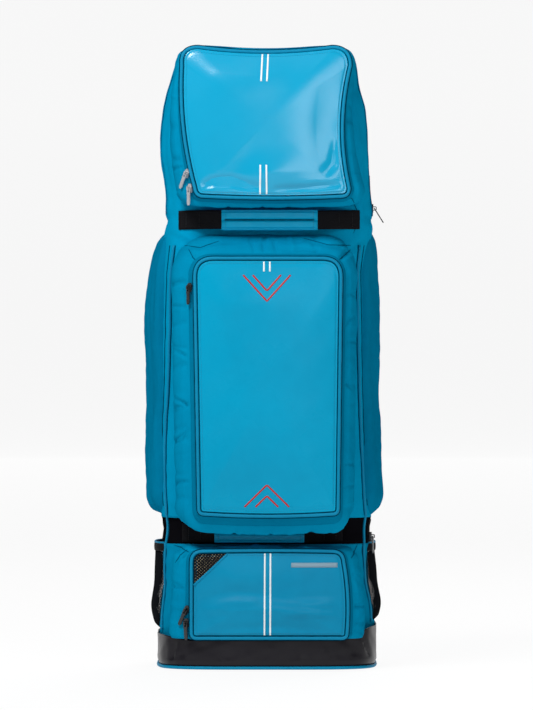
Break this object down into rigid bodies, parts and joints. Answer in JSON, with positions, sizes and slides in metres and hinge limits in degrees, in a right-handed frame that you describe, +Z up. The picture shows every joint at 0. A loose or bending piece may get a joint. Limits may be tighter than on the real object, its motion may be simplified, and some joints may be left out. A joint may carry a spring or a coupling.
{
  "type": "cricket kit bag",
  "caption": "Tall soft kit bag that stands on a wrapped base, with front pockets, side sleeves, mesh side pockets, grab handles and zip pulls that swing.",
  "frame": {"origin": "middle of the flat underside of the base, under the main bag's mid plane", "axes": "+Z up, -Y towards the pockets at the front, +X to the viewer's right when the front is seen"},
  "size_m": [0.3534, 0.3149, 0.9195],
  "materials": {
    "blue_fabric": "woven polyester, matt",
    "blue_coated": "smooth coated fabric, soft sheen",
    "blue_piping": "covered cord, satin",
    "blue_zip_tape": "coil zip and tape, matt",
    "blue_grip": "padded woven cover, matt",
    "black_fabric": "woven, matt",
    "black_webbing": "ribbed webbing",
    "black_zip_tape": "coil zip and tape, matt",
    "black_coated": "smooth coated fabric, soft sheen",
    "black_mesh": "open knitted mesh",
    "silver_metal": "polished",
    "black_metal": "black gloss"
  },
  "bodies": {
    "bag": {"upper_body": "blue_fabric", "waist_band": "black_fabric", "lower_body": "blue_fabric", "base_wrap": "black_coated", "base_piping": "blue_piping", "main_zip": "blue_zip_tape", "side_zip": "black_zip_tape", "top_pocket_gusset": "blue_fabric", "top_pocket_zip": "blue_zip_tape", "top_pocket_piping": "blue_piping", "mid_pocket_gusset": "blue_fabric", "mid_pocket_zip": "blue_zip_tape", "mid_pocket_piping": "blue_piping", "low_pocket_gusset": "blue_fabric", "low_pocket_zip": "blue_zip_tape", "low_pocket_piping": "blue_piping", "top_pocket_panel": "blue_coated", "mid_pocket_panel": "blue_coated", "low_pocket_panel": "blue_coated", "low_pocket_vent": "black_mesh", "left_sleeve": "blue_fabric", "left_mesh_pocket": "black_mesh", "left_elastic_band": "black_fabric", "left_edge_piping": "blue_piping", "right_sleeve": "blue_fabric", "right_mesh_pocket": "black_mesh", "right_elastic_band": "black_fabric", "right_edge_piping": "blue_piping", "top_handle_webbing": "black_webbing", "top_handle_grip": "blue_grip", "low_handle_webbing": "black_webbing", "low_handle_grip": "blue_grip", "top_upper_slider": "silver_metal", "top_lower_slider": "silver_metal", "mid_slider": "black_metal", "low_upper_slider": "black_metal", "low_lower_slider": "black_metal", "main_slider": "black_metal", "side_slider": "black_metal"},
    "top_upper_tab": {"top_upper_tab": "silver_metal"},
    "top_lower_tab": {"top_lower_tab": "silver_metal"},
    "mid_tab": {"mid_tab": "black_metal"},
    "low_upper_tab": {"low_upper_tab": "black_metal"},
    "low_lower_tab": {"low_lower_tab": "black_metal"},
    "main_tab": {"main_tab": "black_metal"},
    "side_tab": {"side_tab": "black_metal"}
  },
  "joints": [
    {"name": "top_upper_tab_hinge", "type": "hinge", "parent": "bag", "child": "top_upper_tab", "pos_m": [-0.11842, -0.16136, 0.727], "axis": [-0.6119, 0.6365, 0.4695], "range_deg": [0, 150]},
    {"name": "top_lower_tab_hinge", "type": "hinge", "parent": "bag", "child": "top_lower_tab", "pos_m": [-0.11396, -0.16418, 0.705], "axis": [-0.6805, 0.7327, 0], "range_deg": [0, 150]},
    {"name": "mid_tab_hinge", "type": "hinge", "parent": "bag", "child": "mid_tab", "pos_m": [-0.11445, -0.18146, 0.56], "axis": [-0.6663, 0.7457, 0], "range_deg": [0, 150]},
    {"name": "low_upper_tab_hinge", "type": "hinge", "parent": "bag", "child": "low_upper_tab", "pos_m": [-0.11882, -0.16105, 0.088], "axis": [-0.7128, 0.5346, 0.454], "range_deg": [0, 150]},
    {"name": "low_lower_tab_hinge", "type": "hinge", "parent": "bag", "child": "low_lower_tab", "pos_m": [-0.11892, -0.16149, 0.069], "axis": [-0.8036, 0.591, -0.0698], "range_deg": [0, 150]},
    {"name": "main_tab_hinge", "type": "hinge", "parent": "bag", "child": "main_tab", "pos_m": [0.15986, -0.045, 0.677], "axis": [0, -1, 0], "range_deg": [0, 115]},
    {"name": "side_tab_hinge", "type": "hinge", "parent": "bag", "child": "side_tab", "pos_m": [0.15702, -0.06075, 0.192], "axis": [-0.2197, -0.9756, 0], "range_deg": [0, 150]}
  ]
}
